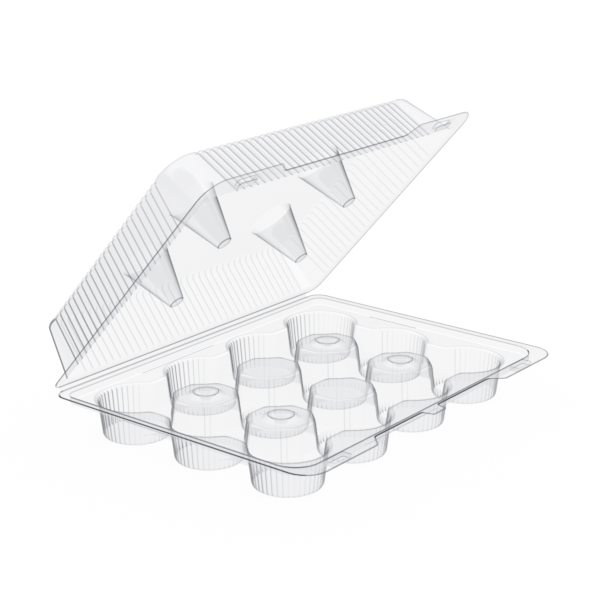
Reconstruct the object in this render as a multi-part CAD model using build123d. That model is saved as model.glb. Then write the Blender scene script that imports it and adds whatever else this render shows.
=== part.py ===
from build123d import *
import math
import os

# Clear thermoformed clamshell carton: a tray of twelve cups, a living-hinge web and a domed lid.
# Frame: +X along the hinge, +Y towards the hinge, +Z up, with the lid standing part-way open.
# The pieces are drawn around the middle of the four-by-three grid of cups, at the height of the
# cup floors, and then moved along Y so that the origin is under the centre of the open carton.

# --- driving dimensions, mm and degrees ---
SHEET = 0.5             # thickness of the formed sheet
COLUMNS = 4             # cups along X
ROWS = 3                # cups along Y
PITCH_X = 76.0
PITCH_Y = 74.6

FLANGE_Z = 35.6         # top of the tray's flange above the cup floors
DECK_Z = 29.4           # top of the deck between and around the cups
CUP_MOUTH_R = 29.5      # outside of a cup at the deck
CUP_FLOOR_R = 26.1      # outside of a cup where its wall would meet the floor
CUP_FILLET = 2.5        # outside radius between a cup's wall and its floor
CHANNEL_Z = 8.4         # underside of the channels that join neighbouring cups
CHANNEL_TOP = 12.4      # half-width of a channel at the deck
CHANNEL_FOOT = 9.6      # half-width of a channel at its floor

LENGTH = 323.4          # flange, corner to corner along X
BACK_Y = 119.3          # crease line of the tray
FRONT_Y = -122.3        # front edge of both flanges between the lift tabs
FLANGE_WIDTH = 7.0      # flange outside the tray's recess, at the sides and back
FLANGE_FRONT_WIDTH = 4.0
FRONT_CORNER_R = 19.0
BACK_CORNER_R = 11.0
RECESS_BACK_CORNER_R = 9.0
RECESS_FRONT_CORNER_R = 20.0

TAB_REACH = 10.3        # how far the lift tabs stand out in front of the flange
TAB_START_X = 74.0      # where a corner lift tab begins to leave the front edge
TAB_SLOPE = 10.0        # length along X of the tab's slanting shoulder
TAB_BLEND_R = 6.0
CENTRE_TAB_X = -5.0
CENTRE_TAB_ROOT = 21.0
CENTRE_TAB_TIP = 16.0
CENTRE_TAB_REACH = 9.0
CENTRE_TAB_R = 2.0

SNAP_X = 119.0          # snap pocket and knob, centre along X
SNAP_Y = -124.0         # snap pocket and knob, centre along Y when closed
POCKET_LENGTH = 20.0
POCKET_WIDTH = 8.6
POCKET_DEPTH = 3.4
SNAP_PLAY = 0.35        # side play between knob and pocket
KNOB_DEPTH = 3.0
SNAP_CORNER_R = 1.6
SNAP_DRAFT = 8.0        # degrees

SOCKET_COLUMNS = (-1, 1)  # mounds that carry a socket, in pitches along X
SOCKET_ROWS = (-0.5, 0.5)  # in pitches along Y
SOCKET_BASE_R = 14.4
SOCKET_RIM_R = 10.3
SOCKET_HEIGHT = 2.5
DISH_RIM_R = 8.4
DISH_FLOOR_R = 6.8
DISH_DEPTH = 2.4
SLANT_WALL = 0.4        # radial thickness of the socket's slanting walls

LID_HEIGHT = 44.7       # outside of the roof above the underside of the lid's flange
LID_INSET = 9.3         # flange edge to the foot of the lid's wall
LID_DRAFT = 10.6        # degrees
LID_FOOT_CORNER_R = 12.0  # plan radius of the front corners at the foot of the wall
LID_ROOF_CORNER_R = 20.0  # the same at the roof
LID_BACK_CORNER_R = 4.0   # plan radius of the corners beside the crease
LID_SHOULDER_R = 5.0    # radius between wall and roof
POST_BASE_R = 20.0
POST_TIP_R = 6.25

FLANGE_GAP = 0.3        # clearance between the two flanges when closed
JOGGLE = 1.1            # step of each flange away from the other beside its crease
JOGGLE_RUN = 1.5        # length along Y of that step's slope
JOGGLE_LEDGE = 1.6      # level ledge between the slope and the crease
CREASE_PLAY = 0.07      # clearance between a ledge and the web's rounded edge
OPEN_ANGLE = 48.45      # how far the lid stands open at rest
PICK = 1.0              # slack when corners are picked out by their place

# --- derived dimensions ---
HALF_SHEET = SHEET / 2
HALF_LENGTH = LENGTH / 2
PLATE_BACK_Y = BACK_Y - JOGGLE_RUN - JOGGLE_LEDGE
CREASE_Z = FLANGE_Z - HALF_SHEET - JOGGLE
WEB_LENGTH = SHEET + FLANGE_GAP + 2 * JOGGLE
WEB_TILT = OPEN_ANGLE / 2
CREASE_HALF_LENGTH = HALF_LENGTH - BACK_CORNER_R
LID_Z = FLANGE_Z + FLANGE_GAP
CUP_XS = [(i - (COLUMNS - 1) / 2) * PITCH_X for i in range(COLUMNS)]
CUP_YS = [(j - (ROWS - 1) / 2) * PITCH_Y for j in range(ROWS)]
POSTS = [(i * PITCH_X, j * PITCH_Y) for i in SOCKET_COLUMNS for j in SOCKET_ROWS]


def slab(sketch, low, high):
    """A plate with the sketch as its outline, from height low to height high."""
    return extrude(Plane.XY.offset(low) * sketch, high - low)


def box_outline(side, front, back, front_radius, back_radius):
    """A rectangle from -side to side and from front to back, with rounded corners."""
    outline = make_face(Polyline((-side, front), (side, front), (side, back), (-side, back), close=True))
    outline = fillet(outline.vertices().filter_by(lambda v: v.Y < back - PICK), front_radius)
    return fillet(outline.vertices().filter_by(lambda v: v.Y > back - PICK), back_radius)


def turned(points):
    """A solid of revolution about +Z from radius and height pairs."""
    return revolve(Plane.XZ * make_face(Polyline(*points, close=True)), Axis.Z)


def flange_outline():
    """The outline both flanges share: rounded corners and two wide corner lift tabs."""
    tab_y = FRONT_Y - TAB_REACH
    tab_x = TAB_START_X + TAB_SLOPE
    right = [(TAB_START_X, FRONT_Y), (tab_x, tab_y), (HALF_LENGTH, tab_y), (HALF_LENGTH, PLATE_BACK_Y)]
    left = [(-x, y) for x, y in reversed(right)]
    plate = make_face(Polyline(*right, *left, close=True))
    plate = fillet(plate.vertices().filter_by(lambda v: v.Y > 0), BACK_CORNER_R)
    plate = fillet(plate.vertices().filter_by(lambda v: v.Y < 0 and abs(v.X) > tab_x + PICK), FRONT_CORNER_R)
    return fillet(plate.vertices().filter_by(lambda v: v.Y < 0 and abs(v.X) < tab_x + PICK), TAB_BLEND_R)


def centre_tab():
    """The small trapezoid tab near the middle of the tray's front edge."""
    root = CENTRE_TAB_ROOT / 2
    tip = CENTRE_TAB_TIP / 2
    tip_y = FRONT_Y - CENTRE_TAB_REACH
    tab = make_face(Polyline((-root, FRONT_Y), (root, FRONT_Y), (tip, tip_y), (-tip, tip_y), close=True))
    tab = fillet(tab.vertices().filter_by(lambda v: v.Y < FRONT_Y - PICK), CENTRE_TAB_R)
    return Pos(CENTRE_TAB_X, 0) * tab


def cup(wall):
    """One cup as a solid of revolution, its surface set in from the cup's outside by wall."""
    mouth = CUP_MOUTH_R - wall
    floor = CUP_FLOOR_R - wall
    profile = make_face(Polyline((0, wall), (floor, wall), (mouth, DECK_Z), (0, DECK_Z), close=True))
    corner = profile.vertices().filter_by(lambda v: v.Y < wall + PICK and v.X > PICK)
    return revolve(Plane.XZ * fillet(corner, CUP_FILLET - wall), Axis.Z)


def channel(length, wall):
    """A straight trough along X with leaning sides, set in from its outside by wall."""
    foot = CHANNEL_FOOT - wall
    head = CHANNEL_TOP - wall
    low = CHANNEL_Z + wall
    section = make_face(Polyline((-foot, low), (foot, low), (head, DECK_Z), (-head, DECK_Z), close=True))
    return extrude(Plane.YZ * section, length / 2, both=True)


def hollows(wall):
    """All the cups and the channels that join them, as one solid."""
    one_cup = cup(wall)
    along_x = channel(CUP_XS[-1] - CUP_XS[0], wall)
    along_y = Rot(0, 0, 90) * channel(CUP_YS[-1] - CUP_YS[0], wall)
    pieces = [Pos(x, y) * one_cup for x in CUP_XS for y in CUP_YS]
    pieces += [Pos(0, y) * along_x for y in CUP_YS]
    pieces += [Pos(x, 0) * along_y for x in CUP_XS]
    return pieces[0].fuse(*pieces[1:])


def socket_outside():
    """The raised ring on a mound, with the dish in its top."""
    rim_z = DECK_Z + SOCKET_HEIGHT
    dish_z = rim_z - DISH_DEPTH
    return turned([
        (0, DECK_Z - SHEET),
        (SOCKET_BASE_R, DECK_Z - SHEET),
        (SOCKET_RIM_R, rim_z),
        (DISH_RIM_R, rim_z),
        (DISH_FLOOR_R, dish_z),
        (0, dish_z),
    ])


def socket_hollow():
    """The space under a socket, which keeps it one sheet thick."""
    rim_z = DECK_Z + SOCKET_HEIGHT - SHEET
    dish_z = rim_z - DISH_DEPTH
    return turned([
        (0, DECK_Z - 2 * SHEET),
        (SOCKET_BASE_R - SLANT_WALL, DECK_Z - 2 * SHEET),
        (SOCKET_RIM_R - SLANT_WALL, rim_z),
        (DISH_RIM_R + SLANT_WALL, rim_z),
        (DISH_FLOOR_R + SLANT_WALL, dish_z),
        (0, dish_z),
    ])


def snap_block(top, depth, shrink, head_room):
    """A block that narrows downwards from height top; head_room carries it straight up above top."""
    outline = RectangleRounded(POCKET_LENGTH - 2 * shrink, POCKET_WIDTH - 2 * shrink, SNAP_CORNER_R - shrink)
    below = extrude(Plane.XY.offset(top) * outline, -depth, taper=SNAP_DRAFT)
    return below + slab(outline, top, top + head_room) if head_room else below


def joggle(step):
    """The strip beside a crease that steps the flange by step away from the other flange."""
    end = -HALF_SHEET - CREASE_PLAY
    ledge = -JOGGLE_LEDGE
    slope = ledge - JOGGLE_RUN
    lower = [(slope, -HALF_SHEET), (ledge, step - HALF_SHEET), (end, step - HALF_SHEET)]
    upper = [(y, z + SHEET) for y, z in reversed(lower)]
    section = make_face(Polyline(*lower, *upper, close=True))
    return Pos(0, BACK_Y, 0) * extrude(Plane.YZ * section, CREASE_HALF_LENGTH, both=True)


def base_tray():
    """The lower shell: flange with tabs, recessed deck, cups, channels, sockets and snap pockets."""
    back = PLATE_BACK_Y - FLANGE_WIDTH
    front = FRONT_Y + FLANGE_FRONT_WIDTH
    side = HALF_LENGTH - FLANGE_WIDTH
    radii = (RECESS_FRONT_CORNER_R, RECESS_BACK_CORNER_R)
    outer_radii = (RECESS_FRONT_CORNER_R + SHEET, RECESS_BACK_CORNER_R + SHEET)
    recess = box_outline(side, front, back, *radii)
    wall = box_outline(side + SHEET, front - SHEET, back + SHEET, *outer_radii)
    shell = slab(flange_outline() + centre_tab(), FLANGE_Z - SHEET, FLANGE_Z)
    shell = shell + slab(wall, DECK_Z - SHEET, FLANGE_Z) - slab(recess, DECK_Z, FLANGE_Z)
    shell = shell + hollows(0) - hollows(SHEET)
    for x, y in POSTS:
        shell = shell + Pos(x, y) * socket_outside() - Pos(x, y) * socket_hollow()
    for x in (-SNAP_X, SNAP_X):
        shell = shell + Pos(x, SNAP_Y) * snap_block(FLANGE_Z, POCKET_DEPTH + SHEET, -SHEET, 0)
        shell = shell - Pos(x, SNAP_Y) * snap_block(FLANGE_Z, POCKET_DEPTH, 0, 0)
    return shell + Pos(0, 0, FLANGE_Z - HALF_SHEET) * joggle(-JOGGLE)


def dome_level(wall, height):
    """The outline of the lid's wall at a height above its foot, set in from its outside by wall."""
    inset = LID_INSET + wall + height * math.tan(math.radians(LID_DRAFT))
    side = HALF_LENGTH - inset
    front = FRONT_Y + inset
    back = PLATE_BACK_Y - inset
    growth = (LID_ROOF_CORNER_R - LID_FOOT_CORNER_R) * height / LID_HEIGHT
    front_radius = LID_FOOT_CORNER_R + growth - wall
    outline = box_outline(side, front, back, front_radius, LID_BACK_CORNER_R - wall)
    return Plane.XY.offset(LID_Z + height) * outline


def dome(wall):
    """The lid's domed body, with leaning walls and a rounded shoulder, set in from its outside by wall."""
    body = loft([dome_level(wall, 0), dome_level(wall, LID_HEIGHT - wall)], ruled=True)
    return fillet(body.faces().sort_by(Axis.Z)[-1].edges(), LID_SHOULDER_R - wall)


def post_outside():
    """One hollow post's outside, standing down from the roof."""
    return turned([
        (0, LID_Z),
        (POST_TIP_R, LID_Z),
        (POST_BASE_R, LID_Z + LID_HEIGHT),
        (0, LID_Z + LID_HEIGHT),
    ])


def post_hollow():
    """The space inside a post, open at the roof."""
    return turned([
        (0, LID_Z + SHEET),
        (POST_TIP_R - SHEET, LID_Z + SHEET),
        (POST_BASE_R - SHEET, LID_Z + LID_HEIGHT),
        (0, LID_Z + LID_HEIGHT),
    ])


def closed_lid():
    """The upper shell in its closed place."""
    shell = slab(flange_outline(), LID_Z, LID_Z + SHEET) + dome(0) - dome(SHEET)
    for x, y in POSTS:
        shell = shell + Pos(x, y) * post_outside() - Pos(x, y) * post_hollow()
    for x in (-SNAP_X, SNAP_X):
        shell = shell + Pos(x, SNAP_Y) * snap_block(LID_Z, KNOB_DEPTH, SNAP_PLAY, SHEET)
        shell = shell - Pos(x, SNAP_Y) * snap_block(LID_Z, KNOB_DEPTH - SHEET, SNAP_PLAY + SHEET, SHEET)
    return shell + Pos(0, 0, LID_Z + HALF_SHEET) * joggle(JOGGLE)


def lid_shell():
    """The upper shell, swung open about its own crease and carried by the tilted web."""
    tilt = math.radians(WEB_TILT)
    to_crease = Pos(0, -BACK_Y, -CREASE_Z - WEB_LENGTH)
    to_rest = Pos(0, BACK_Y + WEB_LENGTH * math.sin(tilt), CREASE_Z + WEB_LENGTH * math.cos(tilt))
    return to_rest * Rot(-OPEN_ANGLE, 0, 0) * to_crease * closed_lid()


def hinge_web():
    """The strip between the two creases, with a rounded edge centred on each crease line."""
    strip = extrude(Plane.YZ * SlotCenterToCenter(WEB_LENGTH, SHEET), CREASE_HALF_LENGTH, both=True)
    upright = Pos(0, 0, WEB_LENGTH / 2) * Rot(90, 0, 0) * strip
    return Pos(0, BACK_Y, CREASE_Z) * Rot(-WEB_TILT, 0, 0) * upright


pieces = {"base_tray": base_tray(), "hinge_web": hinge_web(), "lid_shell": lid_shell()}
footprint = Compound(list(pieces.values())).bounding_box()
to_origin = Pos(0, -footprint.center().Y, 0)

os.makedirs("parts", exist_ok=True)
for name, piece in pieces.items():
    export_step(to_origin * piece, f"parts/{name}.step")
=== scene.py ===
import math

import bmesh
import bpy
import numpy as np
from mathutils import Matrix, Vector
from mathutils.geometry import delaunay_2d_cdt


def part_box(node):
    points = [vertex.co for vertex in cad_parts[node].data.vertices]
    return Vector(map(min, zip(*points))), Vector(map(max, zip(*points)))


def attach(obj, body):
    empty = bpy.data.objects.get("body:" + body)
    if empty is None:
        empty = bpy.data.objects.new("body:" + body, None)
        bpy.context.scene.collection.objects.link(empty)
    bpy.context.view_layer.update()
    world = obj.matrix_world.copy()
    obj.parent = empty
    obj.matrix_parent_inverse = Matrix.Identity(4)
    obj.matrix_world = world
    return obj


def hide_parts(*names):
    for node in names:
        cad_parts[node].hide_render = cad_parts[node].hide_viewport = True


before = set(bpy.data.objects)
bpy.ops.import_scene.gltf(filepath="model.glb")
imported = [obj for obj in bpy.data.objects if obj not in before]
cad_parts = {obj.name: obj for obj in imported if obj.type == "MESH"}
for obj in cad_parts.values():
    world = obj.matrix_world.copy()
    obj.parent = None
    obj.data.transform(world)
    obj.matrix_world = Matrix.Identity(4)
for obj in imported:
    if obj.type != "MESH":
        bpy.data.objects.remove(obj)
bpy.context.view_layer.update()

# Looks of a clear thermoformed clamshell carton. Sizes are in millimetres, in the grid frame: the
# origin under the middle of the cups, +X along the hinge, +Y towards it, +Z up.

# --- sizes shared with the CAD model ---
SHEET = 0.5
PITCH_X = 76.0
PITCH_Y = 74.6
COLUMNS = 4
ROWS = 3
FLANGE_Z = 35.6
DECK_Z = 29.4
FLOOR_Z = SHEET
CHANNEL_Z = 8.4 + SHEET
CUP_MOUTH_R = 29.5 - SHEET
CUP_FLOOR_R = 26.1 - SHEET
CHANNEL_TOP = 12.4 - SHEET
LENGTH = 323.4
BACK_Y = 119.3
FRONT_Y = -122.3
FLANGE_WIDTH = 7.0
FLANGE_FRONT_WIDTH = 4.0
FRONT_CORNER_R = 19.0
BACK_CORNER_R = 11.0
RECESS_BACK_CORNER_R = 9.0
RECESS_FRONT_CORNER_R = 20.0
TAB_REACH = 10.3
TAB_START_X = 74.0
TAB_SLOPE = 10.0
TAB_BLEND_R = 6.0
CENTRE_TAB_X = -5.0
CENTRE_TAB_ROOT = 21.0
CENTRE_TAB_TIP = 16.0
CENTRE_TAB_REACH = 9.0
CENTRE_TAB_R = 2.0
SNAP_X = 119.0
SNAP_Y = -124.0
POCKET_LENGTH = 20.0
POCKET_WIDTH = 8.6
POCKET_DEPTH = 3.4
SNAP_PLAY = 0.35
KNOB_DEPTH = 3.0
SNAP_CORNER_R = 1.6
SOCKET_BASE_R = 14.4
SOCKET_RIM_R = 10.3
SOCKET_HEIGHT = 2.5
DISH_RIM_R = 8.4
DISH_FLOOR_R = 6.8
DISH_DEPTH = 2.4
LID_HEIGHT = 44.7
LID_INSET = 9.3
LID_DRAFT = 10.6
LID_FOOT_CORNER_R = 12.0
LID_ROOF_CORNER_R = 20.0
LID_BACK_CORNER_R = 4.0
POST_BASE_R = 20.0
POST_TIP_R = 6.25
FLANGE_GAP = 0.3
JOGGLE = 1.1
JOGGLE_RUN = 1.5
JOGGLE_LEDGE = 1.6
LEDGE_END = SHEET / 2 + 0.07
OPEN_ANGLE = 48.45

# --- sizes of the surface detail ---
FLUTES = 40               # flutes round each cup
STEPS_PER_FLUTE = 4
FLUTE_DEPTH = 0.75
CUP_FILLET = 2.0
EDGE_R = 3.0              # rounding where a cup's wall turns over into the deck
MOUND_CORNER = 4.0        # how far the rounding of a mound's corner reaches along its channel
SIDE_RIBS = 23            # ribs on each side wall of the lid
FRONT_RIBS = 32
BACK_RIBS = 36
STEPS_PER_RIB = 6
FRONT_RIB_END = 120.0
BACK_RIB_END = 135.0
SIDE_RIB_FRONT = -79.9
SIDE_RIB_BACK = 90.3
RIB_MARGIN = 0.3          # least distance from the ribs' end to the round corner beside it
RIB_DEPTH = 1.9
SHOULDER_R = 5.0
# lean of the rounded shoulder in degrees, and the share of a rib's depth that is left there
SHOULDER_DEPTH = ((LID_DRAFT, 1.0), (30, 1.0), (50, 0.95), (70, 0.8), (90, 0.6))
FRONT_CORNER_STEPS = 12   # points round one of the lid's front corners
BACK_CORNER_STEPS = 7
CIRCLE_STEPS = 48
BORDER = 1.2              # width of the painted shade line along a flange's cut edge
BORDER_END = 1.7          # where that border has faded out
SHARP_ANGLE = math.radians(38)  # edges bent by more than this are shaded as sharp

# --- how dark each kind of painted shade line is: 1 is the full darkness of a crease, over 1 widens it ---
DARK_REFLECTION_SIDE = math.radians(128.7)  # painted reflection of a dark studio edge: flutes turned this way across the grid get the darkest creases
FLUTE_LINE = 1.1
DECK_EDGE = 0.8           # the top of a mound's rounded edge, seen edgewise
POST_EDGE = 0.42          # a post all round, seen edgewise
POST_SHADED_SIDE = 0.7      # painted shade added to it on the post's side turned away from the dark flute side
WALL_EDGE = 0.6           # a cup's wall seen edgewise on the crown of a flute; it is 1 in a crease
LINE = 1.15               # edges and folds that frame the flanges
TAB_LINE = 0.88           # the same along the tabs
FAR_LINE = 0.76           # and along the right and back sides
FAR_RECESS = 0.65         # the far sides of the deck's recess, as a share of LINE
LID_LINE = 0.8            # the lid's flange, as a share of the tray's

# --- looks of the sheet, with painted shade and a painted studio reflection ---
GRAZING_POWER = 12.0      # how suddenly plain sheet darkens seen edgewise, partly from the longer path, partly painted shade
EDGE_POWER = 3.5          # the same for flutes and rounded edges
CREASE_POWER = 4.5        # how narrow the painted shade line in a crease is
CREASE_SHARE = 0.8        # how dark it is
PAINTED_REFLECTION_SHARE = 0.22        # strength of the painted studio reflection, which the sheet glows
RIPPLE = 0.06             # how far the sheet's unevenness bends its painted reflection
MOTTLE = 0.006            # how much the sheet's clearness varies
# Clear colours let light through face on; the cut edge's is darker, as painted shade. The shade colours are
# painted shade for creases and for sheet seen edgewise.
PET_CLEAR = (0.965, 0.966, 0.969, 1)
PET_SHADE = (0.16, 0.17, 0.19, 1)
RIM_CLEAR = (0.45, 0.46, 0.49, 1)
RIM_SHADE = (0.25, 0.26, 0.28, 1)

# --- stage and camera ---
FLOOR_SIZE = 12.0         # metres from the middle to each side
FLOOR_SHADOW = 0.10       # share of the floor that takes shadows
STUDIO_WHITE = 1.05
CAMERA_AZIMUTH = math.radians(-51.26)
CAMERA_ELEVATION = math.radians(18.04)
CAMERA_TARGET = Vector((0.13065, 0.10795, 0.038))  # metres
CAMERA_DISTANCE = 1.4479
CAMERA_LENS = 97.98
SHEETS_DEEP = 96          # how many layers of clear sheet a ray may pass

HALF_LENGTH = LENGTH / 2
PLATE_BACK_Y = BACK_Y - JOGGLE_RUN - JOGGLE_LEDGE
LID_Z = FLANGE_Z + FLANGE_GAP
CREASE_Z = FLANGE_Z - SHEET / 2 - JOGGLE
WEB_LENGTH = SHEET + FLANGE_GAP + 2 * JOGGLE
WALL_SLOPE = (CUP_MOUTH_R - CUP_FLOOR_R) / DECK_Z
CUP_XS = [(i - (COLUMNS - 1) / 2) * PITCH_X for i in range(COLUMNS)]
CUP_YS = [(j - (ROWS - 1) / 2) * PITCH_Y for j in range(ROWS)]
CUP_STEPS = FLUTES * STEPS_PER_FLUTE
ARC_MARGIN = 16           # ring steps between a channel's axis and the first fluted column beside it
QUARTER = CUP_STEPS // 4


# ---------------------------------------------------------------- sheet meshes
class Sheet:
    """One side of a formed sheet, gathered as shared vertices and faces."""

    def __init__(self):
        self.points = []
        self.crease = []
        self.edge = []
        self.faces = []

    def ring(self, points, crease=0.0, edge=0.0):
        """Adds points and returns their indices.

        crease is painted shade along folds, dark from everywhere; edge is painted shade for places seen
        edgewise.
        Either is one value or a list with one each."""
        start = len(self.points)
        self.points.extend(tuple(p) for p in points)
        for store, value in ((self.crease, crease), (self.edge, edge)):
            store.extend(value if isinstance(value, list) else [value] * len(points))
        return list(range(start, len(self.points)))

    def band(self, a, b, closed=True):
        """Quads between two rows of the same length."""
        count = len(a)
        for i in range(count if closed else count - 1):
            j = (i + 1) % count
            self.faces.append((a[i], a[j], b[j], b[i]))

    def bands(self, rings, closed=True):
        for a, b in zip(rings, rings[1:]):
            self.band(a, b, closed)

    def fill(self, outer, holes=()):
        """Triangles over the flat area inside the loop outer and outside the loops in holes.

        Where a loop has many points in one line, triangles without area can be left along it."""
        loops = [outer, *holes]
        index = [i for loop in loops for i in loop]
        flat = [Vector(self.points[i][:2]) for i in index]
        edges = []
        start = 0
        for loop in loops:
            count = len(loop)
            edges += [(start + i, start + (i + 1) % count) for i in range(count)]
            start += count
        verts, _, triangles, origin, _, _ = delaunay_2d_cdt(flat, edges, [], 0, 1e-5)
        place = np.array([v[:] for v in verts])
        middles = np.array([place[list(t)].mean(0) for t in triangles])
        keep = inside(middles, place_of(self, outer))
        for hole in holes:
            keep &= ~inside(middles, place_of(self, hole))
        for triangle, kept in zip(triangles, keep):
            if kept:
                self.faces.append(tuple(index[origin[i][0]] for i in triangle))


def place_of(sheet, loop):
    return np.array([sheet.points[i][:2] for i in loop])


def inside(points, polygon):
    """Which points lie inside a polygon, by counting crossings."""
    x, y = points[:, 0][:, None], points[:, 1][:, None]
    ax, ay = polygon[:, 0], polygon[:, 1]
    bx, by = np.roll(ax, -1), np.roll(ay, -1)
    spans = (ay > y) != (by > y)
    with np.errstate(divide="ignore", invalid="ignore"):
        cross = x < (bx - ax) * (y - ay) / (by - ay) + ax
    return (spans & cross).sum(1) % 2 == 1


def solid_from(sheet, name, thickness, place):
    """A mesh object: the sheet, a second side one thickness away, and a rim along the open edges."""
    mesh = bpy.data.meshes.new(name)
    bm = bmesh.new()
    fold = bm.verts.layers.float.new("crease")
    turn = bm.verts.layers.float.new("edge")
    verts = [bm.verts.new(p) for p in sheet.points]
    for v, crease, edge in zip(verts, sheet.crease, sheet.edge):
        v[fold] = crease
        v[turn] = edge
    for face in sheet.faces:
        bm.faces.new([verts[i] for i in face])
    bmesh.ops.delete(bm, geom=[v for v in bm.verts if not v.link_faces], context="VERTS")
    bmesh.ops.recalc_face_normals(bm, faces=bm.faces)
    bm.normal_update()
    if sum(f.normal.z * f.calc_area() for f in bm.faces) < 0:
        bmesh.ops.reverse_faces(bm, faces=bm.faces)
        bm.normal_update()
    top = list(bm.verts)
    under = {}
    for v in top:
        spread = [max(0.45, v.normal.dot(f.normal)) for f in v.link_faces]
        stretch = 1 / max(0.6, sum(spread) / len(spread))
        under[v] = bm.verts.new(v.co - v.normal * thickness * stretch)
        under[v][fold] = v[fold]
        under[v][turn] = v[turn]
    rim = [e for e in bm.edges if e.is_boundary]
    faces = list(bm.faces)
    for f in faces:
        bm.faces.new([under[v] for v in reversed(f.verts)])
    for e in rim:
        loop = e.link_loops[0]
        a, b = loop.vert, loop.link_loop_next.vert
        side = bm.faces.new((b, a, under[a], under[b]))
        side.material_index = 1
    bmesh.ops.transform(bm, matrix=place, verts=bm.verts)
    bm.normal_update()
    bm.to_mesh(mesh)
    bm.free()
    for polygon in mesh.polygons:
        polygon.use_smooth = True
    mesh.set_sharp_from_angle(angle=SHARP_ANGLE)
    piece = bpy.data.objects.new(name, mesh)
    bpy.context.scene.collection.objects.link(piece)
    return piece


# ---------------------------------------------------------------- outlines
def arc_points(cx, cy, radius, start, end, count):
    """Points on an arc, both ends included, from angle start to end in degrees."""
    angles = np.radians(np.linspace(start, end, count))
    return [(cx + radius * math.cos(a), cy + radius * math.sin(a)) for a in angles]


def circle_angles():
    return np.arange(CIRCLE_STEPS) * math.tau / CIRCLE_STEPS


def circle(cx, cy, radius, z):
    return [(cx + radius * math.cos(a), cy + radius * math.sin(a), z) for a in circle_angles()]


def rounded(path, radii, steps=6):
    """A closed outline whose corners are rounded; each radius belongs to one corner of the path."""
    count = len(path)
    out = []
    for i in range(count):
        here = Vector(path[i])
        before = (Vector(path[i - 1]) - here).normalized()
        after = (Vector(path[(i + 1) % count]) - here).normalized()
        half = before.angle(after) / 2
        reach = radii[i] / math.tan(half)
        centre = here + (before + after).normalized() * (radii[i] / math.sin(half))
        first = here + before * reach - centre
        last = here + after * reach - centre
        swing = first.angle_signed(last)
        for k in range(steps + 1):
            turn = Matrix.Rotation(-swing * k / steps, 2)
            out.append(tuple(centre + turn @ first))
    return out


def subdivided(outline, longest):
    """The outline with long straight stretches cut up."""
    out = []
    for a, b in zip(outline, outline[1:] + outline[:1]):
        parts = max(1, math.ceil(math.dist(a, b) / longest))
        out += [tuple(a[k] + (b[k] - a[k]) * t / parts for k in (0, 1)) for t in range(parts)]
    return out


def flange_outline(with_centre_tab):
    """The outer edge of a flange, anticlockwise; only the tray's has the small tab near the middle."""
    tab_y = FRONT_Y - TAB_REACH
    tab_x = TAB_START_X + TAB_SLOPE
    front = [(-HALF_LENGTH, tab_y), (-tab_x, tab_y), (-TAB_START_X, FRONT_Y)]
    radii = [FRONT_CORNER_R, TAB_BLEND_R, TAB_BLEND_R]
    if with_centre_tab:
        root, tip = CENTRE_TAB_ROOT / 2, CENTRE_TAB_TIP / 2
        tip_y = FRONT_Y - CENTRE_TAB_REACH
        front += [(CENTRE_TAB_X - root, FRONT_Y), (CENTRE_TAB_X - tip, tip_y)]
        front += [(CENTRE_TAB_X + tip, tip_y), (CENTRE_TAB_X + root, FRONT_Y)]
        radii += [CENTRE_TAB_R] * 4
    front += [(TAB_START_X, FRONT_Y), (tab_x, tab_y), (HALF_LENGTH, tab_y)]
    radii += [TAB_BLEND_R, TAB_BLEND_R, FRONT_CORNER_R]
    back = [(HALF_LENGTH, PLATE_BACK_Y), (-HALF_LENGTH, PLATE_BACK_Y)]
    return subdivided(rounded(front + back, radii + [BACK_CORNER_R] * 2), 12.0)


def box_outline(x0, x1, y0, y1, front_radius, back_radius, steps):
    """A box with rounded corners, anticlockwise from its front left corner."""
    radii = [front_radius, front_radius, back_radius, back_radius]
    return rounded([(x0, y0), (x1, y0), (x1, y1), (x0, y1)], radii, steps)


def inset(outline, distance):
    """An anticlockwise outline moved inwards by a small distance."""
    out = []
    for before, here, after in zip(outline[-1:] + outline[:-1], outline, outline[1:] + outline[:1]):
        way = (Vector(after) - Vector(before)).normalized()
        out.append((here[0] - way.y * distance, here[1] + way.x * distance))
    return out


def at(points, z):
    return [(p[0], p[1], z) for p in points]


def add_joggle(sheet, outer, step):
    """The strip along the crease that steps the flange away from the other flange."""
    row = [i for i in outer if sheet.points[i][1] > PLATE_BACK_Y - 0.001]
    row.sort(key=lambda i: sheet.points[i][0])
    z = sheet.points[row[0]][2]
    # the second value is the painted shade along that fold
    places = [(BACK_Y - JOGGLE_LEDGE, 0.0), (BACK_Y - LEDGE_END, FAR_LINE)]
    rows = [row] + [sheet.ring([(sheet.points[i][0], y, z + step) for i in row], dark) for y, dark in places]
    sheet.bands(rows, closed=False)


def rim_darkness(points, strength):
    """Painted shade along a flange's edge: full along the left and front sides, weaker on the tabs and far
    sides.
    """
    out = []
    for x, y in points:
        far = x > HALF_LENGTH - FRONT_CORNER_R / 2 or y > PLATE_BACK_Y - BACK_CORNER_R / 2
        tab = y < FRONT_Y - 1
        out.append(strength * (FAR_LINE if far else TAB_LINE if tab else LINE))
    return out


def add_flange(sheet, outline, z, strength, holes):
    """The flat flange between an outline and the loops in holes. Returns its outer loop."""
    rings = []
    for distance, share in ((0.0, 1), (BORDER, 1), (BORDER_END, 0)):
        loop = inset(outline, distance)
        rings.append(sheet.ring(at(loop, z), rim_darkness(outline, strength * share)))
    sheet.bands(rings)
    sheet.fill(rings[-1], holes)
    return rings[0]


# ---------------------------------------------------------------- tray
def flute(step):
    """Depth of the flute pattern at a ring step: 1 in a crease, 0 on the crown between two."""
    share = ((step - STEPS_PER_FLUTE / 2) % STEPS_PER_FLUTE) / STEPS_PER_FLUTE
    return 1 - 4 * share * (1 - share)


def cup_point(cup, step, radius, depth):
    """A point on a cup's fluted wall."""
    angle = math.tau * step / CUP_STEPS
    reach = radius - depth * flute(step)
    return (CUP_XS[cup[0]] + reach * math.cos(angle), CUP_YS[cup[1]] + reach * math.sin(angle))


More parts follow.
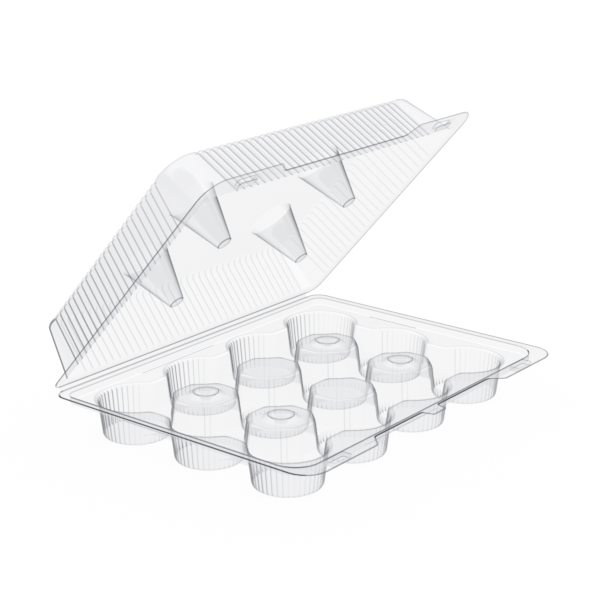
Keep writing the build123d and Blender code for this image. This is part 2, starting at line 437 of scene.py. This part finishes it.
def channel_corner(cup, step, radius, width):
    """Where the line that leaves a cup's wall at a ring step meets the channel's wall, and a place beyond."""
    quarter = round(step / QUARTER)
    axis = Matrix.Rotation(quarter * math.pi / 2, 2)
    side = 1 if step > quarter * QUARTER else -1
    angle = math.tau * abs(step - quarter * QUARTER) / CUP_STEPS
    slack = (radius * math.sin(angle) - width) / math.cos(angle)
    along = radius * math.cos(angle) + slack * math.sin(angle)
    centre = Vector((CUP_XS[cup[0]], CUP_YS[cup[1]]))
    corner = centre + axis @ Vector((along, side * width))
    beyond = centre + axis @ Vector((along + MOUND_CORNER, side * width))
    return corner, beyond


def corner_curve(start, corner, end):
    """Four points from just after start to end, rounding the corner between them."""
    out = []
    for k in range(1, 5):
        t = k / 4
        out.append(tuple((1 - t) ** 2 * start + 2 * t * (1 - t) * corner + t * t * end))
    return out


def wall_edge(step):
    """How strong the painted edgewise shade of a cup's wall is at a ring step."""
    return WALL_EDGE + (1 - WALL_EDGE) * flute(step) ** 2


def flute_crease(step):
    """Painted shade in a flute's crease: strongest on the side that would mirror the dark edge of the studio,
    a painted reflection.
    """
    turned = math.cos(math.tau * step / CUP_STEPS - DARK_REFLECTION_SIDE)
    return FLUTE_LINE * (0.55 + 0.45 * turned) * flute(step)


def in_channel(cup, step):
    """Whether a ring step of a cup lies in the mouth of a channel."""
    quarter = round(step / QUARTER)
    has_channel = (cup[0] < COLUMNS - 1, cup[1] < ROWS - 1, cup[0] > 0, cup[1] > 0)
    return abs(step - quarter * QUARTER) < ARC_MARGIN and has_channel[quarter % 4]


def contour_marks(arcs):
    """The painted crease and edge shade of each point of a contour, full at its rounded corners' edges."""
    folds, edges = [], []
    for _, first, last in arcs:
        way = 1 if last > first else -1
        steps = range(first, last + way, way)
        corners = [1.0, 1.0, 0.6, 0.0, 0.0, 0.0, 0.0, 0.0, 0.6, 1.0, 1.0]
        edges += [wall_edge(s) for s in steps] + corners
        folds += [flute_crease(s) for s in steps] + [0.0] * len(corners)
    return folds, edges


def contour(arcs, radius, width, depth):
    """A closed outline made of cup arcs joined by the walls of the channels between them."""
    out = []
    for (cup, first, last), (next_cup, next_first, _) in zip(arcs, arcs[1:] + arcs[:1]):
        way = 1 if last > first else -1
        out += [cup_point(cup, s, radius, depth) for s in range(first, last + way, way)]
        corner, beyond = channel_corner(cup, last, radius, width)
        out += corner_curve(Vector(out[-1]), corner, beyond)
        next_corner, next_beyond = channel_corner(next_cup, next_first, radius, width)
        out += [tuple(beyond.lerp(next_beyond, t)) for t in (0.25, 0.5, 0.75)]
        entry = Vector(cup_point(next_cup, next_first, radius, depth))
        out += reversed(corner_curve(entry, next_corner, next_beyond))
    return out


def mound_arcs(i, j):
    """The four cup arcs round the mound between cups i, i+1 and j, j+1."""
    m = ARC_MARGIN
    q = QUARTER
    return [
        ((i + 1, j + 1), 3 * q - m, 2 * q + m),
        ((i, j + 1), 4 * q - m, 3 * q + m),
        ((i, j), q - m, m),
        ((i + 1, j), 2 * q - m, q + m),
    ]


def outer_arcs():
    """The cup arcs round the outside of the whole grid, anticlockwise from the front left cup."""
    m = ARC_MARGIN
    q = QUARTER
    right, back = COLUMNS - 1, ROWS - 1
    arcs = [((0, 0), q + m, 4 * q - m)]
    arcs += [((i, 0), 2 * q + m, 4 * q - m) for i in range(1, right)]
    arcs += [((right, 0), 2 * q + m, 5 * q - m)]
    arcs += [((right, j), 3 * q + m, 5 * q - m) for j in range(1, back)]
    arcs += [((right, back), 3 * q + m, 6 * q - m)]
    arcs += [((i, back), m, 2 * q - m) for i in range(right - 1, 0, -1)]
    arcs += [((0, back), m, 3 * q - m)]
    arcs += [((0, j), q + m, 3 * q - m) for j in range(back - 1, 0, -1)]
    return arcs


def wall_levels():
    """Rows of a wall from the channel floor up over its rounded edge.

    Each row is a radius growth, a height, a flute depth, and the row's share of the wall's painted edge
    shade."""
    rows = []
    for z in (CHANNEL_Z, 12.5, 17.0, 21.5, DECK_Z - EDGE_R):
        rows.append((WALL_SLOPE * z, z, FLUTE_DEPTH, 1.0))
    base = WALL_SLOPE * (DECK_Z - EDGE_R)
    for degrees, fade, dark in ((22, 0.95, 1.0), (45, 0.75, 0.8), (68, 0.4, 0.6), (90, 0.1, 0.0)):
        a = math.radians(degrees)
        growth = base + EDGE_R * (1 - math.cos(a))
        rows.append((growth, DECK_Z - EDGE_R * (1 - math.sin(a)), FLUTE_DEPTH * fade, dark))
    rows.append((base + EDGE_R + 1.0, DECK_Z, 0.0, 0.0))
    return rows


def add_walls(sheet, arcs, shared):
    """The wall above one outline of arcs. Its lowest row reuses the cups' points. Returns all its rows."""
    rings = []
    drop = CUP_MOUTH_R - WALL_SLOPE * DECK_Z
    folds, edges = contour_marks(arcs)
    levels = wall_levels()
    for number, (growth, z, depth, dark) in enumerate(levels):
        width = CHANNEL_TOP - WALL_SLOPE * DECK_Z + growth
        points = at(contour(arcs, drop + growth, width, depth), z)
        if number:
            over = DECK_EDGE if number == len(levels) - 2 else 0.0
            rings.append(sheet.ring(points, [f * dark for f in folds], [max(e * dark, over) for e in edges]))
            continue
        lowest = []
        for p in points:
            key = (round(p[0], 4), round(p[1], 4))
            lowest.append(shared[key] if key in shared else sheet.ring([p])[0])
        rings.append(lowest)
    sheet.bands(rings)
    return rings


def add_cup(sheet, cup, shared):
    """A cup below the level of the channels. Its top ring goes into shared, by place."""
    r_low = CUP_FLOOR_R
    rows = [(r_low + WALL_SLOPE * CHANNEL_Z, CHANNEL_Z, FLUTE_DEPTH)]
    rows.append((r_low + WALL_SLOPE * (FLOOR_Z + CUP_FILLET), FLOOR_Z + CUP_FILLET, FLUTE_DEPTH))
    centre_r = r_low + WALL_SLOPE * (FLOOR_Z + CUP_FILLET) - CUP_FILLET
    for degrees, fade in ((25, 1.0), (50, 0.8), (72, 0.4), (90, 0.0)):
        a = math.radians(degrees)
        height = FLOOR_Z + CUP_FILLET * (1 - math.sin(a))
        rows.append((centre_r + CUP_FILLET * math.cos(a), height, FLUTE_DEPTH * fade))
    rows.append((centre_r - 1.2, FLOOR_Z, 0.0))
    rings = []
    for radius, z, depth in rows:
        share = [min(1.0, depth / FLUTE_DEPTH)] * CUP_STEPS
        if z == CHANNEL_Z:
            share = [0.0 if in_channel(cup, s) else 1.0 for s in range(CUP_STEPS)]
        edges = [wall_edge(s) * share[s] for s in range(CUP_STEPS)]
        folds = [flute_crease(s) * share[s] for s in range(CUP_STEPS)]
        points = [cup_point(cup, s, radius, depth) for s in range(CUP_STEPS)]
        rings.append(sheet.ring(at(points, z), folds, edges))
    sheet.bands(rings)
    for i in rings[0]:
        p = sheet.points[i]
        shared[(round(p[0], 4), round(p[1], 4))] = i
    sheet.fill(rings[-1])
    return rings[0]


def add_socket(sheet, x, y):
    """A raised ring with a dish in it, on a mound. Returns its outer loop on the mound's top."""
    rim_z = DECK_Z + SOCKET_HEIGHT
    dish_z = rim_z - DISH_DEPTH
    # rows: radius, height and the painted shade at that fold
    profile = [
        (SOCKET_BASE_R + 1.4, DECK_Z, 0.0),
        (SOCKET_BASE_R + 0.3, DECK_Z + 0.02, 0.5),
        (SOCKET_BASE_R - 0.5, DECK_Z + 0.35, 0.0),
        (SOCKET_RIM_R + 0.5, rim_z - 0.45, 0.0),
        (SOCKET_RIM_R - 0.1, rim_z - 0.08, 0.9),
        (SOCKET_RIM_R - 0.7, rim_z, 0.9),
        (DISH_RIM_R + 0.5, rim_z, 0.0),
        (DISH_RIM_R, rim_z - 0.15, 0.7),
        (DISH_FLOOR_R + 0.5, dish_z + 0.4, 0.0),
        (DISH_FLOOR_R - 0.4, dish_z, 0.6),
        (DISH_FLOOR_R - 1.4, dish_z, 0.0),
    ]
    rings = [sheet.ring(circle(x, y, r, z), dark) for r, z, dark in profile]
    sheet.bands(rings)
    sheet.fill(rings[-1])
    return rings[0]


def add_snap(sheet, x, top, shrink, depth):
    """A downward snap block. Returns its outer loop in the flange."""
    # rows: inset, drop and the painted shade at that fold
    rows = [(-0.2, 0.0, 0), (0.05, -0.12, 0.95), (0.22, -0.5, 0.5), (0.3, 0.45 - depth, 0)]
    rows += [(0.55, 0.1 - depth, 0.9), (1.1, -depth, 0), (1.6, -depth, 0)]
    rings = []
    for step, dz, dark in rows:
        half_x = POCKET_LENGTH / 2 - shrink - step
        half_y = POCKET_WIDTH / 2 - shrink - step
        radius = max(0.3, SNAP_CORNER_R - step)
        loop = box_outline(x - half_x, x + half_x, SNAP_Y - half_y, SNAP_Y + half_y, radius, radius, 4)
        rings.append(sheet.ring(at(loop, top + dz), dark * LINE))
    sheet.bands(rings)
    sheet.fill(rings[-1])
    return rings[0]


def subdivided_like(loop):
    """Cuts each long straight side of a rounded box into the same number of parts."""
    out = []
    for a, b in zip(loop, loop[1:] + loop[:1]):
        parts = 24 if math.dist(a, b) > 60 else 1
        out += [tuple(a[k] + (b[k] - a[k]) * t / parts for k in (0, 1)) for t in range(parts)]
    return out


def recess_rings(sheet):
    """Rows of the step from the deck up to the flange, from inside to outside."""
    side = HALF_LENGTH - FLANGE_WIDTH
    front, back = FRONT_Y + FLANGE_FRONT_WIDTH, PLATE_BACK_Y - FLANGE_WIDTH
    # rows: outset, height and the painted shade at that fold, less on the far sides
    rows = [(-1.4, DECK_Z, 0.0), (-0.6, DECK_Z, 0.0), (-0.15, DECK_Z + 0.25, 0.0), (0.0, DECK_Z + 0.8, 0.0)]
    rows += [(0.1, FLANGE_Z - 1.6, 0.0), (0.2, FLANGE_Z - 0.9, LINE), (0.4, FLANGE_Z - 0.15, LINE)]
    rows += [(0.7, FLANGE_Z, LINE), (1.0, FLANGE_Z, 0.0)]
    rings = []
    for out, z, dark in rows:
        radii = (RECESS_FRONT_CORNER_R + out, RECESS_BACK_CORNER_R + out)
        loop = subdivided_like(box_outline(-side - out, side + out, front - out, back + out, *radii, 10))
        shares = [FAR_RECESS if x > side - 5 or y > back - 5 else 1 for x, y in loop]
        rings.append(sheet.ring(at(loop, z), [dark * share for share in shares]))
    return rings


def tray_sheet():
    """The upper surface of the whole tray."""
    sheet = Sheet()
    shared = {}
    cups = [(i, j) for i in range(COLUMNS) for j in range(ROWS)]
    mouths = [add_cup(sheet, cup, shared) for cup in cups]
    spots = [(i, j) for i in range(COLUMNS - 1) for j in range(ROWS - 1)]
    mounds = [add_walls(sheet, mound_arcs(i, j), shared) for i, j in spots]
    around = add_walls(sheet, outer_arcs(), shared)
    sheet.fill(around[0], mouths + [m[0] for m in mounds])
    for (i, j), rings in zip(spots, mounds):
        x, y = CUP_XS[i] + PITCH_X / 2, CUP_YS[j] + PITCH_Y / 2
        plain = abs(x) < 1
        sheet.fill(rings[-1], [] if plain else [add_socket(sheet, x, y)])

    recess = recess_rings(sheet)
    sheet.fill(recess[0], [around[-1]])
    sheet.bands(recess)
    pockets = [add_snap(sheet, x, FLANGE_Z, 0, POCKET_DEPTH) for x in (-SNAP_X, SNAP_X)]
    outer = add_flange(sheet, flange_outline(True), FLANGE_Z, 1.0, [recess[-1], *pockets])
    add_joggle(sheet, outer, -JOGGLE)
    return sheet


# ---------------------------------------------------------------- lid
def ribbed(start, end, ribs):
    """Places along one wall and the depth of the ribs there: 1 in a valley, 0 on a crown and at both ends."""
    count = ribs * STEPS_PER_RIB
    out = []
    for k in range(count + 1):
        share = (k / STEPS_PER_RIB + 0.5) % 1
        out.append((start + (end - start) * k / count, (2 * share - 1) ** 2))
    return out


def lid_loop(distance, z, lean, depth):
    """One level of the lid's wall, anticlockwise. lean is how far its outside faces up, in degrees."""
    share = min(1.0, (z - LID_Z) / LID_HEIGHT)
    front_r = LID_FOOT_CORNER_R + (LID_ROOF_CORNER_R - LID_FOOT_CORNER_R) * share
    side, front, back = HALF_LENGTH - distance, FRONT_Y + distance, PLATE_BACK_Y - distance
    front_end = min(FRONT_RIB_END, side - front_r - RIB_MARGIN)
    back_end = min(BACK_RIB_END, side - LID_BACK_CORNER_R - RIB_MARGIN)
    side_front = max(SIDE_RIB_FRONT, front + front_r + RIB_MARGIN)
    side_back = min(SIDE_RIB_BACK, back - LID_BACK_CORNER_R - RIB_MARGIN)
    reach = depth * math.cos(math.radians(lean))
    drop = depth * math.sin(math.radians(lean))
    out = [(x, front + reach * v, z - drop * v) for x, v in ribbed(-front_end, front_end, FRONT_RIBS)]
    out += at(arc_points(side - front_r, front + front_r, front_r, -90, 0, FRONT_CORNER_STEPS), z)
    out += [(side - reach * v, y, z - drop * v) for y, v in ribbed(side_front, side_back, SIDE_RIBS)]
    back_r = LID_BACK_CORNER_R
    out += at(arc_points(side - back_r, back - back_r, back_r, 0, 90, BACK_CORNER_STEPS), z)
    out += [(x, back - reach * v, z - drop * v) for x, v in ribbed(back_end, -back_end, BACK_RIBS)]
    out += at(arc_points(back_r - side, back - back_r, back_r, 90, 180, BACK_CORNER_STEPS), z)
    out += [(reach * v - side, y, z - drop * v) for y, v in ribbed(side_back, side_front, SIDE_RIBS)]
    out += at(arc_points(front_r - side, front + front_r, front_r, 180, 270, FRONT_CORNER_STEPS), z)
    return out


def rib_creases():
    """Painted shade of each point of a lid loop: valleys between ribs, and the back left corner."""
    marks = []
    smooth = [0.0] * FRONT_CORNER_STEPS
    faint = [0.0, 0.0, 0.2, 0.35, 0.2, 0.0, 0.0]
    sharp = [0.0, 0.8, LINE, LINE, LINE, 0.95, 0.0]
    walls = [(FRONT_RIBS, 0.9, 0.9, smooth), (SIDE_RIBS, 0.7, 0.7, faint)]
    walls += [(BACK_RIBS, 0.66, 0.76, sharp), (SIDE_RIBS, 1.15, 0.88, smooth)]
    for ribs, first, last, corner in walls:
        count = ribs * STEPS_PER_RIB
        for k in range(count + 1):
            in_valley = k % STEPS_PER_RIB == STEPS_PER_RIB // 2
            marks.append((first + (last - first) * k / count) * in_valley)
        marks += corner
    return marks


def lid_levels():
    """Rows of the lid's wall from the flange to the roof: inset, height, lean, rib depth, share of the
    painted shade.
    """
    flange_top = LID_Z + SHEET
    roof = LID_Z + LID_HEIGHT
    rows = [(LID_INSET - 2.4, flange_top, 80, 0.0, 0.0), (LID_INSET - 1.7, flange_top, 80, 0.0, 0.0)]
    rows += [(LID_INSET - 0.6, flange_top + 0.05, 60, 0.0, 0.0)]
    rows += [(LID_INSET + 0.1, flange_top + 0.4, 30, 0.4 * RIB_DEPTH, 0.7)]
    for z in (flange_top + 1.3, flange_top + 12.0, flange_top + 25.0):
        rows.append((wall_inset(z), z, LID_DRAFT, RIB_DEPTH, 1.0))
    centre_z = roof - SHOULDER_R
    centre = wall_inset(centre_z) + SHOULDER_R / math.cos(math.radians(LID_DRAFT))
    for lean, share in SHOULDER_DEPTH:
        a = math.radians(lean)
        distance = centre - SHOULDER_R * math.cos(a)
        rows.append((distance, centre_z + SHOULDER_R * math.sin(a), lean, RIB_DEPTH * share, 1.0))
    rows += [(centre + 1.2, roof, 90, RIB_DEPTH * 0.35, 0.8), (centre + 2.6, roof, 90, 0.0, 0.0)]
    rows += [(centre + 3.6, roof, 90, 0.0, 0.0)]
    return rows


def wall_inset(z):
    """How far the lid's wall lies inside the flange's edge at a height."""
    return LID_INSET + (z - LID_Z) * math.tan(math.radians(LID_DRAFT))


def add_post(sheet, x, y):
    """One hollow post. Returns its loop in the roof."""
    roof = LID_Z + LID_HEIGHT
    tip = LID_Z + SHEET
    mouth, end = POST_BASE_R - SHEET, POST_TIP_R - SHEET
    slope = (mouth - end) / (roof - tip)
    # rows: radius, height, painted crease shade and share of the painted edgewise shade
    rows = [(mouth + 2.8, roof, 0, 0), (mouth + 1.8, roof, 0, 0)]
    rows += [(mouth + 0.6, roof - 0.3, 0, 0), (mouth - 0.3, roof - 1.6, 0, 0.5)]
    rows += [(mouth - slope * d, roof - d, 0, 1) for d in (8, 16, 24, 32, 39)]
    rows += [(end + slope * 0.9, tip + 0.9, 0, 1), (end, tip + 0.3, 0.9, 1)]
    rows += [(end - 0.5, tip, 0.9, 0), (end - 1.3, tip, 0, 0)]
    # painted shade seen edgewise on each post, stronger on the side turned away from the dark flute side
    side = [POST_EDGE + POST_SHADED_SIDE * max(0.0, -math.cos(a - DARK_REFLECTION_SIDE)) for a in circle_angles()]
    rings = [sheet.ring(circle(x, y, r, z), dark, [edge * e for e in side]) for r, z, dark, edge in rows]
    sheet.bands(rings)
    sheet.fill(rings[-1])
    return rings[0]


def lid_sheet():
    """The upper surface of the whole lid, closed."""
    sheet = Sheet()
    creases = rib_creases()
    rings = []
    for distance, z, lean, depth, dark in lid_levels():
        rings.append(sheet.ring(lid_loop(distance, z, lean, depth), [c * dark for c in creases]))
    sheet.bands(rings)
    posts = [(i * PITCH_X, j * PITCH_Y) for i in (-1, 1) for j in (-0.5, 0.5)]
    sheet.fill(rings[-1], [add_post(sheet, x, y) for x, y in posts])
    knobs = [add_snap(sheet, x, LID_Z + SHEET, SNAP_PLAY + SHEET, KNOB_DEPTH) for x in (-SNAP_X, SNAP_X)]
    outer = add_flange(sheet, flange_outline(False), LID_Z + SHEET, LID_LINE, [rings[0], *knobs])
    add_joggle(sheet, outer, JOGGLE)
    return sheet


# ---------------------------------------------------------------- materials
def node(tree, kind, **values):
    """A shader node with its properties and, by name, its unlinked inputs set."""
    made = tree.nodes.new(kind)
    for name, value in values.items():
        if hasattr(made, name):
            setattr(made, name, value)
        else:
            made.inputs[name].default_value = value
    return made


def painted_studio_reflection(tree, place, wave):
    """A painted reflection that the sheet glows: a bright softbox overhead, a greyer horizon and the pale
    floor below.
    """
    link = tree.links.new
    bent = node(tree, "ShaderNodeVectorMath", operation="MULTIPLY_ADD")
    link(wave.outputs["Color"], bent.inputs[0])
    bent.inputs[1].default_value = (RIPPLE, RIPPLE, RIPPLE)
    link(place.outputs["Reflection"], bent.inputs[2])
    split = node(tree, "ShaderNodeSeparateXYZ")
    link(bent.outputs[0], split.inputs[0])
    height = node(tree, "ShaderNodeMapRange")
    height.inputs["From Min"].default_value = -1.0
    link(split.outputs["Z"], height.inputs["Value"])
    ramp = node(tree, "ShaderNodeValToRGB")
    stops = ramp.color_ramp.elements
    stops[0].position, stops[0].color = 0.40, (0.92, 0.92, 0.93, 1)
    stops[1].position, stops[1].color = 0.90, (1.25, 1.25, 1.26, 1)
    for position, grey in ((0.52, 0.80), (0.66, 0.84), (0.74, 1.10)):
        stops.new(position).color = (grey, grey, grey + 0.01, 1)
    link(height.outputs[0], ramp.inputs[0])
    return ramp.outputs["Color"]


def clear_plastic(name, clear, dark, crease_share):
    """Thin clear sheet: see-through face on, darker where it is seen edgewise (partly the longer path, partly
    painted shade) and along its creases (painted shade), with a glowing painted studio reflection.
    """
    material = bpy.data.materials.new(name)
    material.use_nodes = True
    tree = material.node_tree
    tree.nodes.clear()
    link = tree.links.new
    out = node(tree, "ShaderNodeOutputMaterial")

    facing = node(tree, "ShaderNodeLayerWeight", Blend=0.5)
    grazing = node(tree, "ShaderNodeMath", operation="POWER")
    grazing.inputs[1].default_value = GRAZING_POWER
    link(facing.outputs["Facing"], grazing.inputs[0])

    crease = node(tree, "ShaderNodeAttribute", attribute_name="crease")
    sharp = node(tree, "ShaderNodeMath", operation="POWER")
    sharp.inputs[1].default_value = CREASE_POWER
    link(crease.outputs["Fac"], sharp.inputs[0])
    folded = node(tree, "ShaderNodeMath", operation="MULTIPLY_ADD")
    folded.inputs[1].default_value = crease_share
    link(sharp.outputs[0], folded.inputs[0])
    link(grazing.outputs[0], folded.inputs[2])

    edge = node(tree, "ShaderNodeAttribute", attribute_name="edge")
    turned = node(tree, "ShaderNodeMath", operation="POWER")
    turned.inputs[1].default_value = EDGE_POWER
    link(facing.outputs["Facing"], turned.inputs[0])
    weighed = node(tree, "ShaderNodeMath", operation="MULTIPLY_ADD")
    link(edge.outputs["Fac"], weighed.inputs[0])
    link(turned.outputs[0], weighed.inputs[1])
    link(folded.outputs[0], weighed.inputs[2])
    weighed.use_clamp = True

    wave = node(tree, "ShaderNodeTexNoise", Scale=28.0, Detail=2.0)
    place = node(tree, "ShaderNodeTexCoord")
    link(place.outputs["Object"], wave.inputs["Vector"])
    spread = node(tree, "ShaderNodeMapRange")
    spread.inputs["To Min"].default_value = 1 - MOTTLE
    spread.inputs["To Max"].default_value = 1.0
    link(wave.outputs["Fac"], spread.inputs["Value"])

    # painted shade: the clear colour is mixed towards the shade colour along creases and where the sheet is
    # seen edgewise
    tint = node(tree, "ShaderNodeMix", data_type="RGBA")
    tint.inputs["A"].default_value = clear
    tint.inputs["B"].default_value = dark
    link(weighed.outputs[0], tint.inputs["Factor"])
    mottled = node(tree, "ShaderNodeVectorMath", operation="SCALE")
    link(tint.outputs["Result"], mottled.inputs[0])
    link(spread.outputs[0], mottled.inputs["Scale"])

    through = node(tree, "ShaderNodeBsdfTransparent")
    link(mottled.outputs[0], through.inputs["Color"])
    # painted reflection: the studio ramp glows as emission and is mixed in by Fresnel
    painted_reflection = node(tree, "ShaderNodeEmission")
    link(painted_studio_reflection(tree, place, wave), painted_reflection.inputs["Color"])
    fresnel = node(tree, "ShaderNodeFresnel", IOR=1.45)
    share = node(tree, "ShaderNodeMath", operation="MULTIPLY")
    share.inputs[1].default_value = PAINTED_REFLECTION_SHARE
    link(fresnel.outputs[0], share.inputs[0])
    both = node(tree, "ShaderNodeMixShader")
    link(share.outputs[0], both.inputs[0])
    link(through.outputs[0], both.inputs[1])
    link(painted_reflection.outputs[0], both.inputs[2])
    link(both.outputs[0], out.inputs["Surface"])
    return material


# ---------------------------------------------------------------- stage
def add_floor():
    """A pale floor that shows hardly any shadow, as on a lit table."""
    size = FLOOR_SIZE
    mesh = bpy.data.meshes.new("floor")
    corners = [(-size, -size, 0), (size, -size, 0), (size, size, 0), (-size, size, 0)]
    mesh.from_pydata(corners, [], [(0, 1, 2, 3)])
    floor = bpy.data.objects.new("floor", mesh)
    bpy.context.scene.collection.objects.link(floor)
    material = bpy.data.materials.new("pale_floor")
    material.use_nodes = True
    tree = material.node_tree
    tree.nodes.clear()
    lit = node(tree, "ShaderNodeEmission", Color=(1.0, 1.0, 1.0, 1))
    matt = node(tree, "ShaderNodeBsdfDiffuse", Color=(0.95, 0.95, 0.955, 1))
    both = node(tree, "ShaderNodeMixShader")
    both.inputs[0].default_value = FLOOR_SHADOW
    out = node(tree, "ShaderNodeOutputMaterial")
    tree.links.new(lit.outputs[0], both.inputs[1])
    tree.links.new(matt.outputs[0], both.inputs[2])
    tree.links.new(both.outputs[0], out.inputs["Surface"])
    mesh.materials.append(material)


def add_light():
    """An even white studio."""
    world = bpy.data.worlds.new("studio")
    bpy.context.scene.world = world
    world.use_nodes = True
    background = world.node_tree.nodes["Background"]
    background.inputs["Color"].default_value = (STUDIO_WHITE, STUDIO_WHITE, STUDIO_WHITE, 1)


def add_camera():
    """A long lens low on the left front corner."""
    back = Vector((
        math.sin(CAMERA_AZIMUTH) * math.cos(CAMERA_ELEVATION),
        -math.cos(CAMERA_AZIMUTH) * math.cos(CAMERA_ELEVATION),
        math.sin(CAMERA_ELEVATION),
    ))
    lens = bpy.data.cameras.new("camera")
    lens.lens = CAMERA_LENS
    lens.sensor_width = 36.0
    lens.clip_end = 100.0
    camera = bpy.data.objects.new("camera", lens)
    camera.location = CAMERA_TARGET + back * CAMERA_DISTANCE
    camera.rotation_euler = (-back).to_track_quat("-Z", "Y").to_euler()
    bpy.context.scene.collection.objects.link(camera)
    bpy.context.scene.camera = camera


# ---------------------------------------------------------------- assembly
def grid_to_world():
    """Millimetres in the grid frame to metres in the row frame."""
    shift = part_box("base_tray")[0][1] * 1000 - (FRONT_Y - TAB_REACH)
    return Matrix.Scale(0.001, 4) @ Matrix.Translation((0, shift, 0))


def closed_to_rest():
    """The lid's move from closed to its place at rest, in the grid frame."""
    tilt = math.radians(OPEN_ANGLE / 2)
    down = Matrix.Translation((0, -BACK_Y, -CREASE_Z - WEB_LENGTH))
    up = Matrix.Translation((0, BACK_Y + WEB_LENGTH * math.sin(tilt), CREASE_Z + WEB_LENGTH * math.cos(tilt)))
    return up @ Matrix.Rotation(-math.radians(OPEN_ANGLE), 4, "X") @ down


sheet_material = clear_plastic("clear_pet", PET_CLEAR, PET_SHADE, CREASE_SHARE)
rim_material = clear_plastic("clear_pet_cut_edge", RIM_CLEAR, RIM_SHADE, 0.0)

tray = solid_from(tray_sheet(), "tray_shell", SHEET, grid_to_world())
lid = solid_from(lid_sheet(), "lid_dome", SHEET, grid_to_world() @ closed_to_rest())
for shell, body, cad_node in ((tray, "tray", "base_tray"), (lid, "lid", "lid_shell")):
    shell.data.materials.append(sheet_material)
    shell.data.materials.append(rim_material)
    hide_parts(cad_node)
    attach(shell, body)

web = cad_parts["hinge_web"]
web.data.materials.clear()
web.data.materials.append(sheet_material)

add_floor()
add_light()
add_camera()
scene = bpy.context.scene
scene.view_settings.view_transform = "Standard"
scene.cycles.transparent_max_bounces = SHEETS_DEEP
scene.cycles.min_transparent_bounces = SHEETS_DEEP
scene.cycles.max_bounces = 8
scene.cycles.use_denoising = False
